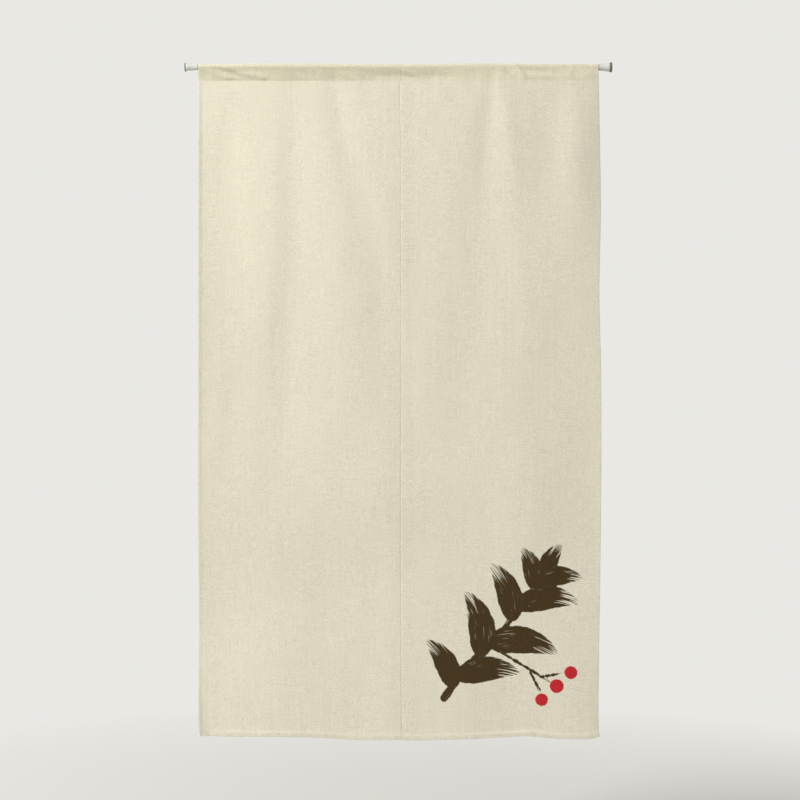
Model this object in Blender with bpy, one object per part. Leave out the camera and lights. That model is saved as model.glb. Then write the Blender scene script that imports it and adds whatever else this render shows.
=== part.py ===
"""A doorway curtain of two cloth panels, hung by the pockets along its top from a tension rod.

Metres, +Z up. X runs along the rod, and the front of the cloth faces -Y. The origin is on the rod's
axis, in the middle of the left pad's outer face.
"""

from math import atan, cos, exp, pi, sin

import bmesh
import bpy
import numpy as np

# The rod, from the outer face of one pad to the outer face of the other
ROD_SPAN = 0.907
ROD_RADIUS = 0.006
ROD_WALL = 0.0008
ROUND_STEPS = 24
PIECE_GAP = 0.0003

# The tapered caps: the narrow end faces the cloth and the wide end faces the wall
CAP_NARROW_RADIUS = 0.0069
CAP_WIDE_RADIUS = 0.0092
CAP_BORE_RADIUS = 0.00635
CAP_END_WALL = 0.0022
CAP_EDGE = 0.0006
ROD_END_PLAY = 0.001

# The two ends of the rod aren't alike: the right pad stands out past its cap
END_PIECES = (
    # side, where its wall is, which way the wall lies, pad radius, pad thickness, cap length
    ("left", 0.0, -1, 0.0092, 0.0022, 0.0249),
    ("right", ROD_SPAN, 1, 0.0104, 0.0042, 0.0228),
)
PAD_EDGE = 0.0006

# The cloth
CLOTH_THICKNESS = 0.0011
HEM_EXTRA_THICKNESS = 0.0007
BOTTOM_HEM = 0.010
HEM_ROWS = 2
SIDE_HEM = 0.009
HEM_STEP = 0.001
POCKET_SLACK = 0.0005
STITCH_HEIGHT = -0.0285
FLAP_BELOW_STITCH = 0.002
LOW_EDGE_HEIGHT = -1.42
SEAM_GAP = 0.0007

# How finely the cloth is cut into faces
COLUMNS = 38
ROWS = 22
ROD_ARC_STEPS = 14
POCKET_SIDE_STEPS = 4

LEFT_EDGE = (
    # height, x
    (0.008, 0.0287),
    (-0.400, 0.0283),
    (-0.900, 0.0272),
    (-1.200, 0.0280),
    (-1.360, 0.0289),
    (-1.405, 0.0306),
    (-1.419, 0.0322),
)
SEAM_LINE = (
    # height, x
    (0.008, 0.4575),
    (-0.500, 0.4580),
    (-1.250, 0.4586),
    (-1.428, 0.4604),
)
RIGHT_EDGE = (
    # height, x
    (0.008, 0.8776),
    (-0.030, 0.8782),
    (-0.110, 0.8798),
    (-0.300, 0.8832),
    (-0.480, 0.8802),
    (-0.650, 0.8840),
    (-0.920, 0.8840),
    (-1.100, 0.8819),
    (-1.280, 0.8796),
    (-1.395, 0.8793),
    (-1.412, 0.8800),
    (-1.424, 0.8818),
)
HEM_LINE = (
    # x, height
    (0.030, -1.4184),
    (0.040, -1.4202),
    (0.060, -1.4207),
    (0.200, -1.4212),
    (0.285, -1.4236),
    (0.345, -1.4278),
    (0.382, -1.4294),
    (0.430, -1.4278),
    (0.459, -1.4284),
    (0.490, -1.4294),
    (0.560, -1.4276),
    (0.635, -1.4256),
    (0.680, -1.4234),
    (0.735, -1.4212),
    (0.775, -1.4252),
    (0.830, -1.4274),
    (0.860, -1.4268),
    (0.872, -1.4246),
    (0.882, -1.4222),
)
TOP_LIFT = (
    # x, how far the top of the pocket stands off the rod
    (0.029, 0.0),
    (0.120, 0.0003),
    (0.170, 0.0012),
    (0.240, 0.0016),
    (0.310, 0.0012),
    (0.360, 0.0002),
    (0.458, 0.0001),
    (0.540, 0.0004),
    (0.590, 0.0014),
    (0.650, 0.0017),
    (0.690, 0.0007),
    (0.760, 0.0),
    (0.880, 0.0),
)

# Soft folds that spread from the heading. Each runs through its x at three heights, swells towards the
# front (or back, below nought) by its swell, widens on its way down, and has faded out at its end height.
HEAD_HEIGHT, WAIST_HEIGHT, LOW_HEIGHT = -0.03, -0.40, -0.80
FOLDS = (
    # x at the head, the waist and low down, half width at the head and low down, swell, end height
    (0.092, 0.092, 0.097, 0.042, 0.043, -0.0040, -1.20),
    (0.205, 0.188, 0.138, 0.032, 0.033, 0.0027, -1.20),
    (0.219, 0.224, 0.219, 0.042, 0.033, -0.0037, -1.20),
    (0.330, 0.350, 0.319, 0.042, 0.075, 0.0064, -1.20),
    (0.318, 0.399, 0.478, 0.022, 0.049, -0.0048, -1.20),
    (0.320, 0.350, 0.272, 0.041, 0.020, -0.0053, -0.56),
    (0.332, 0.394, 0.528, 0.012, 0.033, 0.0013, -0.76),
    (0.625, 0.535, 0.546, 0.017, 0.025, 0.0008, -1.20),
    (0.650, 0.621, 0.586, 0.012, 0.075, -0.0030, -1.20),
    (0.675, 0.720, 0.711, 0.020, 0.075, 0.0047, -1.20),
    (0.710, 0.775, 0.714, 0.019, 0.049, 0.0019, -1.20),
    (0.830, 0.835, 0.864, 0.036, 0.075, 0.0088, -0.79),
)
FOLD_SHARE_AT_STITCH = 0.35
FOLD_RISE = 0.16

# How far the cloth stands forwards at the stitches
STITCH_FORWARD = (
    # x, how far forwards
    (0.029, 0.0),
    (0.400, 0.0),
    (0.500, 0.0012),
    (0.560, 0.0042),
    (0.640, 0.0066),
    (0.880, 0.0066),
)
STITCH_FORWARD_REACH = 0.30

# The slant of the pocket's front, as sideways over down. It slants on the left and hangs straight on the right.
SLANT_AT_ROD = (
    # x, slant where the cloth leaves the rod
    (0.029, 0.34),
    (0.480, 0.34),
    (0.560, 0.24),
    (0.640, 0.08),
    (0.880, 0.06),
)
SLANT_AT_STITCHES = (
    # x, slant where the cloth meets the stitches
    (0.029, 0.26),
    (0.330, 0.26),
    (0.420, 0.12),
    (0.500, 0.0),
    (0.880, 0.0),
)
BACK_HOLLOW = 0.14

# Broad swells lower down, towards the front or, below nought, towards the back
SWELLS = (
    # x, height, half width, half height, swell
    (0.323, -1.114, 0.140, 0.118, -0.0070),
    (0.070, -1.165, 0.097, 0.146, -0.0098),
    (0.195, -0.672, 0.140, 0.170, -0.0079),
    (0.482, -0.902, 0.140, 0.086, 0.0049),
    (0.721, -0.941, 0.084, 0.154, 0.0065),
)

# How far the hem waves forwards of the hanging plane, fading out over the height of cloth above it
HEM_WAVES = (
    # x, wave
    (0.028, -0.0008),
    (0.070, 0.0017),
    (0.140, 0.0051),
    (0.220, 0.0059),
    (0.310, 0.0020),
    (0.385, 0.0010),
    (0.458, 0.0031),
    (0.520, 0.0028),
    (0.600, 0.0023),
    (0.680, -0.0022),
    (0.760, -0.0018),
    (0.830, 0.0012),
    (0.884, -0.0010),
)
HEM_WAVE_REACH = 0.42

# How far an outer edge curls forwards
LEFT_CURL = (
    # height, curl
    (-0.030, 0.0026),
    (-0.450, 0.0024),
    (-0.800, 0.0012),
    (-1.100, 0.0),
    (-1.240, 0.0),
    (-1.330, 0.0026),
    (-1.380, 0.0050),
    (-1.415, 0.0066),
)
RIGHT_CURL = (
    # height, curl
    (-0.030, 0.0),
    (-1.300, 0.0),
    (-1.415, -0.0010),
)
EDGE_CURL_WIDTH = 0.026

# Below the heading the right panel laps over the left one
SLIT_STEP = 0.00115
SLIT_STEP_WIDTH = 0.030
SLIT_LAP = 0.0006
LAP_SHIFT = 0.0016
LAP_START, LAP_FULL = -0.080, -0.160


def smooth(share):
    """0 to 1 with level ends, for a share that may lie outside 0 to 1."""
    held = min(max(share, 0.0), 1.0)
    return held * held * (3 - 2 * held)


def curve_at(rows, place):
    """The value at a place on a smooth curve through rows of (place, value)."""
    places, values = np.array(sorted(rows)).T
    place = min(max(place, places[0]), places[-1])
    slopes = np.gradient(values, places)
    i = min(int(np.searchsorted(places, place, side="right")) - 1, len(places) - 2)
    step = places[i + 1] - places[i]
    t = (place - places[i]) / step
    rise = values[i + 1] - values[i]
    start_bend = slopes[i] * step - rise
    end_bend = rise - slopes[i + 1] * step
    return float(values[i] + t * rise + t * (1 - t) * ((1 - t) * start_bend + t * end_bend))


def fold_swell(x, z):
    """How far the folds bring the cloth forwards at a point."""
    total = 0.0
    for x_head, x_waist, x_low, wide_head, wide_low, swell, z_end in FOLDS:
        line = ((HEAD_HEIGHT, x_head), (WAIST_HEIGHT, x_waist), (LOW_HEIGHT, x_low))
        down = (HEAD_HEIGHT - z) / (HEAD_HEIGHT - LOW_HEIGHT)
        half_width = wide_head + (wide_low - wide_head) * min(max(down, 0.0), 1.0)
        across = (x - curve_at(line, z)) / half_width
        below_stitch = smooth((STITCH_HEIGHT - z) / FOLD_RISE)
        rise = FOLD_SHARE_AT_STITCH + (1 - FOLD_SHARE_AT_STITCH) * below_stitch
        fade = 1 - smooth((HEAD_HEIGHT - z) / (HEAD_HEIGHT - z_end))
        total += swell * rise * fade * exp(-across * across)
    for x_mid, z_mid, half_width, half_height, swell in SWELLS:
        across = (x - x_mid) / half_width
        along = (z - z_mid) / half_height
        total += swell * exp(-across * across - along * along)
    return total + curve_at(STITCH_FORWARD, x) * smooth(1 - (STITCH_HEIGHT - z) / STITCH_FORWARD_REACH)


def sides_forward(z, from_outer, from_slit, slit_way, outer_curl):
    """How far the curl of the outer edge and the lap at the slit bring the cloth forwards."""
    hangs_free = smooth((STITCH_HEIGHT - z) / FOLD_RISE)
    curl = curve_at(outer_curl, z) * max(1 - from_outer / EDGE_CURL_WIDTH, 0.0) ** 2 * hangs_free
    stepped = smooth((STITCH_HEIGHT - z) / (STITCH_HEIGHT - LAP_START))
    return curl - slit_way * SLIT_STEP * smooth(1 - from_slit / SLIT_STEP_WIDTH) * stepped


def cloth_depth(x, z):
    """y of the cloth's middle at a point below the stitches, away from the panel's sides."""
    near_hem = smooth(1 - (z - curve_at(HEM_LINE, x)) / HEM_WAVE_REACH)
    return -fold_swell(x, z) - curve_at(HEM_WAVES, x) * near_hem


def distances_across(width):
    """Distances from the outer edge at which a panel has its sections, closer together at the side hem."""
    inner = np.linspace(SIDE_HEM + HEM_STEP, width, COLUMNS)
    return [0.0, SIDE_HEM / 2, SIDE_HEM, *inner]


def sheet_heights(hem_height):
    """Heights of the rows from the hem up to the stitches, with a narrow step at the top of the hem."""
    top = STITCH_HEIGHT - FLAP_BELOW_STITCH
    rows = np.linspace(hem_height + BOTTOM_HEM + HEM_STEP, top, ROWS)
    return [hem_height, hem_height + BOTTOM_HEM, *rows, STITCH_HEIGHT]


def pocket_side(stitch_y, leaves, way, slants):
    """Points from the stitch up to where the cloth leaves the rod, on the side that lies that way along y.

    The slants, sideways over down, are those at the stitch and at the rod.
    """
    stitch_slant, rod_slant = slants
    drop = leaves[1] - STITCH_HEIGHT
    reach = way * (leaves[0] - stitch_y)
    points = []
    for step in range(POCKET_SIDE_STEPS):
        up = step / POCKET_SIDE_STEPS
        bend = drop * up * (1 - up) * (stitch_slant * (1 - up) - rod_slant * up)
        points.append((stitch_y + way * (up * up * (3 - 2 * up) * reach + bend), STITCH_HEIGHT + up * drop))
    return points


def pocket_line(x, stitch_depth):
    """The pocket's middle line, from the front stitch over the rod to the back, with its outward way.

    It wraps the rod to a little below its axis on each side. Each point is (y, z, outward y, outward z).
    """
    radius = ROD_RADIUS + POCKET_SLACK + CLOTH_THICKNESS / 2
    back_depth = stitch_depth + CLOTH_THICKNESS
    back_slant = (radius - back_depth) / -STITCH_HEIGHT
    front_slants = curve_at(SLANT_AT_STITCHES, x), curve_at(SLANT_AT_ROD, x)
    back_slants = back_slant, back_slant + BACK_HOLLOW
    turns = np.linspace(-atan(front_slants[1]), pi + atan(back_slants[1]), ROD_ARC_STEPS + 1)
    over_rod = [(-radius * cos(turn), radius * sin(turn)) for turn in turns]
    top_lift = curve_at(TOP_LIFT, x)
    over_rod = [(y, z + top_lift * max(z / radius, 0.0)) for y, z in over_rod]
    front_side = pocket_side(stitch_depth, over_rod[0], -1, front_slants)
    back_side = pocket_side(back_depth, over_rod[-1], 1, back_slants)[::-1]
    middle = np.array(front_side + over_rod + back_side)
    along = np.gradient(middle, axis=0)
    along /= np.linalg.norm(along, axis=1)[:, None]
    along[0] = (0, 1)
    along[-1] = (0, -1)
    return [(y, z, -dz, dy) for (y, z), (dy, dz) in zip(middle, along)]


def panel_section(outer_line, outer_curl, slit_line, slit_way, from_outer):
    """One upright section of a panel: the points round its outside, and those round the rod's channel."""
    width = abs(curve_at(slit_line, 0) - curve_at(outer_line, 0))
    share = from_outer / width

    def x_at(z):
        shift = (slit_way * SLIT_LAP + LAP_SHIFT) * smooth((LAP_START - z) / (LAP_START - LAP_FULL))
        return curve_at(outer_line, z) * (1 - share) + (curve_at(slit_line, z) + shift) * share

    def depth_at(z):
        return cloth_depth(x_at(z), z) - sides_forward(z, from_outer, width - from_outer, slit_way, outer_curl)

    half = CLOTH_THICKNESS / 2
    hem_height = curve_at(HEM_LINE, x_at(LOW_EDGE_HEIGHT))
    in_side_hem = from_outer < SIDE_HEM + HEM_STEP / 2
    front, back = [], []
    for row, z in enumerate(sheet_heights(hem_height)):
        extra = HEM_EXTRA_THICKNESS if in_side_hem or row < HEM_ROWS else 0.0
        front.append((x_at(z), depth_at(z) - half, z))
        back.append((x_at(z), depth_at(z) + half + extra, z))
    stitch_depth = depth_at(STITCH_HEIGHT)
    outer, channel = [], []
    for y, z, out_y, out_z in pocket_line(x_at(0), stitch_depth):
        outer.append((x_at(z), y + out_y * half, z + out_z * half))
        channel.append((x_at(z), y - out_y * half, z - out_z * half))
    tuck_x, tuck_y, tuck_z = back[-2]
    flap_corner = (tuck_x, stitch_depth + CLOTH_THICKNESS + half, tuck_z)
    back[-2] = (tuck_x, stitch_depth + half, tuck_z)
    outside = front[:-1] + outer + [flap_corner] + back[-2::-1]
    return outside, channel[:-1]


def clear_scene():
    for old in list(bpy.data.objects):
        bpy.data.objects.remove(old, do_unlink=True)


def finish(name, rgb, roughness, metallic=0.0):
    material = bpy.data.materials.new(name)
    material.use_nodes = True
    shader = material.node_tree.nodes["Principled BSDF"]
    shader.inputs["Base Color"].default_value = (*rgb, 1.0)
    shader.inputs["Roughness"].default_value = roughness
    shader.inputs["Metallic"].default_value = metallic
    return material


def add_object(name, bm, material):
    bmesh.ops.recalc_face_normals(bm, faces=bm.faces)
    mesh = bpy.data.meshes.new(name)
    bm.to_mesh(mesh)
    bm.free()
    mesh.materials.append(material)
    mesh.shade_smooth()
    mesh.set_sharp_from_angle(angle=pi / 5)
    obj = bpy.data.objects.new(name, mesh)
    bpy.context.collection.objects.link(obj)
    return obj


def make_panel(name, outer_line, outer_curl, slit_line, slit_way, material):
    """A panel lofted across its sections: the sheet, its hems, and the pocket that goes round the rod."""
    bm = bmesh.new()
    width = abs(curve_at(slit_line, 0) - curve_at(outer_line, 0))
    outsides, channels = [], []
    for from_outer in distances_across(width):
        outside, channel = panel_section(outer_line, outer_curl, slit_line, slit_way, from_outer)
        outsides.append([bm.verts.new(point) for point in outside])
        channels.append([bm.verts.new(point) for point in channel])
    for rings in (outsides, channels):
        for ring, next_ring in zip(rings, rings[1:]):
            for i in range(len(ring)):
                j = (i + 1) % len(ring)
                bm.faces.new((ring[i], ring[j], next_ring[j], next_ring[i]))
    sheet_rows = ROWS + HEM_ROWS
    for outside, channel in ((outsides[0], channels[0]), (outsides[-1], channels[-1])):
        pocket_end = sheet_rows + len(channel)
        for i in range(sheet_rows - 1):
            bm.faces.new((outside[i], outside[i + 1], outside[-i - 2], outside[-i - 1]))
        stitch = channel[0]
        bm.faces.new((outside[sheet_rows - 1], outside[sheet_rows], stitch, outside[pocket_end + 2]))
        bm.faces.new((outside[pocket_end + 2], stitch, outside[pocket_end], outside[pocket_end + 1]))
        for i in range(len(channel)):
            j = (i + 1) % len(channel)
            bm.faces.new((outside[sheet_rows + i], outside[sheet_rows + i + 1], channel[j], channel[i]))
    return add_object(name, bm, material)


def make_turned(name, profile, location, material):
    """A round piece about the X axis from its closed profile of (x, radius)."""
    bm = bmesh.new()
    verts = [bm.verts.new((x, 0, radius)) for x, radius in profile]
    edges = [bm.edges.new((a, b)) for a, b in zip(verts, verts[1:] + verts[:1])]
    bmesh.ops.spin(
        bm,
        geom=verts + edges,
        cent=(0, 0, 0),
        axis=(1, 0, 0),
        angle=2 * pi,
        steps=ROUND_STEPS,
        use_merge=True,
    )
    bmesh.ops.remove_doubles(bm, verts=bm.verts, dist=1e-6)
    bmesh.ops.dissolve_degenerate(bm, edges=bm.edges, dist=1e-7)
    obj = add_object(name, bm, material)
    obj.location = location
    return obj


def cap_profile(length, towards_wall):
    """The cap from its open narrow end to its closed wide end, as if the narrow end stood at x = 0."""
    taper = (
        # share of the length, share of the way from the narrow radius to the wide one
        (0.00, 0.00),
        (0.30, 0.10),
        (0.55, 0.42),
        (0.80, 0.84),
    )
    spread = CAP_WIDE_RADIUS - CAP_NARROW_RADIUS
    outline = [(share * length, CAP_NARROW_RADIUS + way * spread) for share, way in taper]
    outline.append((length - CAP_EDGE, CAP_WIDE_RADIUS))
    outline.append((length, CAP_WIDE_RADIUS - CAP_EDGE))
    outline.append((length, 0.0))
    outline.append((length - CAP_END_WALL, 0.0))
    outline.append((length - CAP_END_WALL, CAP_BORE_RADIUS))
    outline.append((0.0, CAP_BORE_RADIUS))
    return [(x * towards_wall, radius) for x, radius in outline]


def pad_profile(thickness, radius, towards_wall):
    """A round pad whose inner face stands at x = 0."""
    outline = (
        (0.0, 0.0),
        (0.0, radius - PAD_EDGE),
        (PAD_EDGE, radius),
        (thickness - PAD_EDGE, radius),
        (thickness, radius - PAD_EDGE),
        (thickness, 0.0),
    )
    return [(x * towards_wall, r) for x, r in outline]


def make_rod_end(side, wall_x, towards_wall, pad_radius, pad_thickness, cap_length, plastic, rubber):
    """A pad and its cap. It returns where the rod ends inside the cap."""
    pad_inner = wall_x - towards_wall * pad_thickness
    cap_wide = pad_inner - towards_wall * PIECE_GAP
    cap_narrow = cap_wide - towards_wall * cap_length
    pad = pad_profile(pad_thickness, pad_radius, towards_wall)
    make_turned("end_pad_" + side, pad, (pad_inner, 0, 0), rubber)
    make_turned("end_cap_" + side, cap_profile(cap_length, towards_wall), (cap_narrow, 0, 0), plastic)
    return cap_wide - towards_wall * (CAP_END_WALL + ROD_END_PLAY)


def make_rod(start, end, material):
    inner = ROD_RADIUS - ROD_WALL
    length = end - start
    profile = ((0, inner), (0, ROD_RADIUS), (length, ROD_RADIUS), (length, inner))
    make_turned("rod", profile, (start, 0, 0), material)


def main():
    clear_scene()
    cloth = finish("cloth", (0.745, 0.694, 0.546), 0.9)
    paint = finish("rod_paint", (0.80, 0.79, 0.75), 0.4)
    plastic = finish("cap_plastic", (0.60, 0.61, 0.56), 0.45)
    rubber = finish("pad_rubber", (0.17, 0.165, 0.12), 0.8)
    rod_ends = [make_rod_end(*row, plastic, rubber) for row in END_PIECES]
    make_rod(*rod_ends, paint)
    seam_left = [(z, x - SEAM_GAP / 2) for z, x in SEAM_LINE]
    seam_right = [(z, x + SEAM_GAP / 2) for z, x in SEAM_LINE]
    make_panel("panel_left", LEFT_EDGE, LEFT_CURL, seam_left, 1, cloth)
    make_panel("panel_right", RIGHT_EDGE, RIGHT_CURL, seam_right, -1, cloth)


main()
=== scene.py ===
"""The finished look of a doorway curtain of two cloth panels on a tension rod.

Metres, +Z up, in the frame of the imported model: X runs along the rod, the front of the cloth faces -Y,
and the origin is on the rod's axis at the left pad's outer face.
"""

from math import pi

import bmesh
import bpy
import numpy as np
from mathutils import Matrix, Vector


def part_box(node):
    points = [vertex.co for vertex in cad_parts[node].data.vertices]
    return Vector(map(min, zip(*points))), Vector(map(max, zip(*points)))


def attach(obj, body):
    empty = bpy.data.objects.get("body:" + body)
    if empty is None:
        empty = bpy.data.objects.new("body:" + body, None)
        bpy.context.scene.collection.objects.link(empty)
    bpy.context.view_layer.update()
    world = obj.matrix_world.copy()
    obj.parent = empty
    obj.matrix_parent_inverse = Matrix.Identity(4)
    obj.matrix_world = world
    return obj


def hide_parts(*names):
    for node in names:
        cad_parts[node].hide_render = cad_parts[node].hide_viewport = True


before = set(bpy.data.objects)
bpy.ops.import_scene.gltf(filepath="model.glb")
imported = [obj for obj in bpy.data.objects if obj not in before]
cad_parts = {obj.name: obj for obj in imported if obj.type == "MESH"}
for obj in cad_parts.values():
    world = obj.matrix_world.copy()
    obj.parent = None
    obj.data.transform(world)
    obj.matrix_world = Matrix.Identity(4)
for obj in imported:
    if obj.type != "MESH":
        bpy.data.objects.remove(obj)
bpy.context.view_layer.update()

BODY = "root"
SEED = 11

# The camera stands straight in front of the photo's middle, and takes in the photo's width at the cloth
CAMERA_PLACE = (0.4569, -3.0, -0.7070)
SENSOR_WIDTH = 36.0
VIEW_WIDTH = 1.70

# Soft studio light. The cloth also lets through some of the light behind it at the upper left.
BACKDROP_RGB = (0.815, 0.807, 0.776)
LIGHT_FROM_BELOW, LIGHT_FROM_ABOVE = 0.40, 0.87
OVERHEAD_FROM, OVERHEAD_SHARE = 0.50, 0.50
LIGHTS = (
    # name, place, what it points at, width, height, power
    ("key", (-4.2, -3.9, 3.7), (0.45, 0.0, -0.70), 2.2, 2.2, 466.0),
    ("beside", (-0.42, -0.75, 0.06), (0.12, 0.0, -0.26), 0.50, 0.50, 0.85),
    ("behind", (-0.02, 0.60, -0.16), (0.14, 0.0, -0.24), 0.60, 0.70, 4.5),
)
FLOOR_HEIGHT = -1.90
FLOOR_RADIUS = 2.6
FLOOR_RGB = (0.80, 0.79, 0.76)
FLOOR_ROUGHNESS = 0.9

# The rod and its ends
ROD_RADIUS = 0.006
ROD_WALL = 0.0008
ROUND_STEPS = 64
FILLET_STEPS = 5
CAP_NARROW_RADIUS = 0.0069
CAP_BORE_RADIUS = 0.00635
CAP_END_WALL = 0.0022
CAP_EDGE = 0.0010
CAP_LIP = 0.0003
CAP_STEPS = 24
CAP_TAPER = (
    # share of the length, share of the way from the narrow radius to the wide one
    (0.00, 0.00),
    (0.30, 0.10),
    (0.55, 0.42),
    (0.80, 0.84),
    (0.95, 1.00),
    (1.00, 1.00),
)
PAD_EDGE = 0.0006
PAD_CHAMFER_SHARE = 0.3
PAD_GROOVE = 0.0004
PAD_GROOVE_PROFILE = (
    # place and depth in the groove, in its half widths and its full depths
    (-1.0, 0.0),
    (-0.5, 0.7),
    (0.0, 1.0),
    (0.5, 0.7),
    (1.0, 0.0),
)

# The cloth. Its front lies on the solids' front, which is half their thickness before their middle.
SOLID_HALF_THICKNESS = 0.00055
CLOTH_THICKNESS = 0.00045
HEM_THICKNESS = 0.0012
BOTTOM_HEM = 0.010
BOTTOM_STITCH = 0.0086
SIDE_HEM = 0.009
SIDE_STITCH = 0.0078
STITCH_HEIGHT = -0.0285
FLAP_BELOW_STITCH = 0.002
POCKET_DEPTH_RADIUS = 0.0074
POCKET_TOP_RADIUS = 0.0069
CLEAR_OF_ROD = 0.0001
SEAM_GAP = 0.0004
SEAM_SKEW = 0.0009
SEAM_SKEW_WIDTH = 0.030
LOW_EDGE_HEIGHT = -1.42

LEFT_EDGE = (
    # height, x
    (0.008, 0.0287),
    (-0.400, 0.0283),
    (-0.900, 0.0272),
    (-1.200, 0.0280),
    (-1.360, 0.0289),
    (-1.405, 0.0306),
    (-1.419, 0.0322),
)
SEAM_LINE = (
    # height, x
    (0.008, 0.4575),
    (-0.500, 0.4580),
    (-1.250, 0.4586),
    (-1.428, 0.4604),
)
RIGHT_EDGE = (
    # height, x
    (0.008, 0.8776),
    (-0.030, 0.8782),
    (-0.110, 0.8798),
    (-0.300, 0.8832),
    (-0.480, 0.8802),
    (-0.650, 0.8840),
    (-0.920, 0.8840),
    (-1.100, 0.8819),
    (-1.280, 0.8796),
    (-1.395, 0.8793),
    (-1.412, 0.8800),
    (-1.424, 0.8818),
)
HEM_LINE = (
    # x, height
    (0.030, -1.4184),
    (0.040, -1.4202),
    (0.060, -1.4207),
    (0.200, -1.4212),
    (0.285, -1.4236),
    (0.345, -1.4278),
    (0.382, -1.4294),
    (0.430, -1.4278),
    (0.459, -1.4284),
    (0.490, -1.4294),
    (0.560, -1.4276),
    (0.635, -1.4256),
    (0.680, -1.4234),
    (0.735, -1.4212),
    (0.775, -1.4252),
    (0.830, -1.4274),
    (0.860, -1.4268),
    (0.872, -1.4246),
    (0.882, -1.4222),
)
TOP_LIFT = (
    # x, how far the top of the pocket stands off the rod
    (0.029, 0.0),
    (0.120, 0.0003),
    (0.170, 0.0012),
    (0.240, 0.0016),
    (0.310, 0.0012),
    (0.360, 0.0002),
    (0.458, 0.0001),
    (0.540, 0.0004),
    (0.590, 0.0014),
    (0.650, 0.0017),
    (0.690, 0.0007),
    (0.760, 0.0),
    (0.880, 0.0),
)

# Soft folds that spread from the heading. Each runs through its x at three heights, swells towards the
# front (or back, below nought) by its swell, widens on its way down, and has faded out at its end height.
HEAD_HEIGHT, WAIST_HEIGHT, LOW_HEIGHT = -0.03, -0.40, -0.80
FOLDS = (
    # x at the head, the waist and low down, half width at the head and low down, swell, end height
    (0.092, 0.092, 0.097, 0.042, 0.043, -0.0040, -1.20),
    (0.205, 0.188, 0.138, 0.032, 0.033, 0.0027, -1.20),
    (0.219, 0.224, 0.219, 0.042, 0.033, -0.0037, -1.20),
    (0.330, 0.350, 0.319, 0.042, 0.075, 0.0064, -1.20),
    (0.318, 0.399, 0.478, 0.022, 0.049, -0.0048, -1.20),
    (0.320, 0.350, 0.272, 0.041, 0.020, -0.0053, -0.56),
    (0.332, 0.394, 0.528, 0.012, 0.033, 0.0013, -0.76),
    (0.625, 0.535, 0.546, 0.017, 0.025, 0.0008, -1.20),
    (0.650, 0.621, 0.586, 0.012, 0.075, -0.0030, -1.20),
    (0.675, 0.720, 0.711, 0.020, 0.075, 0.0047, -1.20),
    (0.710, 0.775, 0.714, 0.019, 0.049, 0.0019, -1.20),
    (0.830, 0.835, 0.864, 0.036, 0.075, 0.0088, -0.79),
)
FOLD_SHARE_AT_STITCH = 0.35
FOLD_RISE = 0.16

# How far the cloth stands forwards at the stitches
STITCH_FORWARD = (
    # x, how far forwards
    (0.029, 0.0),
    (0.400, 0.0),
    (0.500, 0.0012),
    (0.560, 0.0042),
    (0.640, 0.0066),
    (0.880, 0.0066),
)
STITCH_FORWARD_REACH = 0.30

# The slant of the pocket's front, as sideways over down. It fades out towards the right.
SLANT_AT_ROD = (
    # x, slant where the cloth leaves the rod
    (0.029, 0.34),
    (0.480, 0.34),
    (0.560, 0.24),
    (0.640, 0.08),
    (0.880, 0.06),
)
SLANT_AT_STITCHES = (
    # x, slant where the cloth meets the stitches
    (0.029, 0.26),
    (0.330, 0.26),
    (0.420, 0.12),
    (0.500, 0.0),
    (0.880, 0.0),
)
BACK_HOLLOW = 0.14

# Broad swells lower down, towards the front or, below nought, towards the back
SWELLS = (
    # x, height, half width, half height, swell
    (0.323, -1.114, 0.140, 0.118, -0.0070),
    (0.070, -1.165, 0.097, 0.146, -0.0098),
    (0.195, -0.672, 0.140, 0.170, -0.0079),
    (0.482, -0.902, 0.140, 0.086, 0.0049),
    (0.721, -0.941, 0.084, 0.154, 0.0065),
)

# How far the hem waves forwards of the hanging plane, fading out over the height of cloth above it
HEM_WAVES = (
    # x, wave
    (0.028, -0.0008),
    (0.070, 0.0017),
    (0.140, 0.0051),
    (0.220, 0.0059),
    (0.310, 0.0020),
    (0.385, 0.0010),
    (0.458, 0.0031),
    (0.520, 0.0028),
    (0.600, 0.0023),
    (0.680, -0.0022),
    (0.760, -0.0018),
    (0.830, 0.0012),
    (0.884, -0.0010),
)
HEM_WAVE_REACH = 0.42

# How far an outer edge curls forwards
LEFT_CURL = (
    # height, curl
    (-0.030, 0.0026),
    (-0.450, 0.0024),
    (-0.800, 0.0012),
    (-1.100, 0.0),
    (-1.240, 0.0),
    (-1.330, 0.0026),
    (-1.380, 0.0050),
    (-1.415, 0.0066),
)
RIGHT_CURL = (
    # height, curl
    (-0.030, 0.0),
    (-1.300, 0.0),
    (-1.415, -0.0010),
)
EDGE_CURL_WIDTH = 0.026

# Below the heading the right panel laps over the left one
SLIT_STEP = 0.00115
SLIT_STEP_WIDTH = 0.030
SLIT_LAP = 0.0006
LAP_SHIFT = 0.0016
LAP_START, LAP_FULL = -0.080, -0.160

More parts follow.
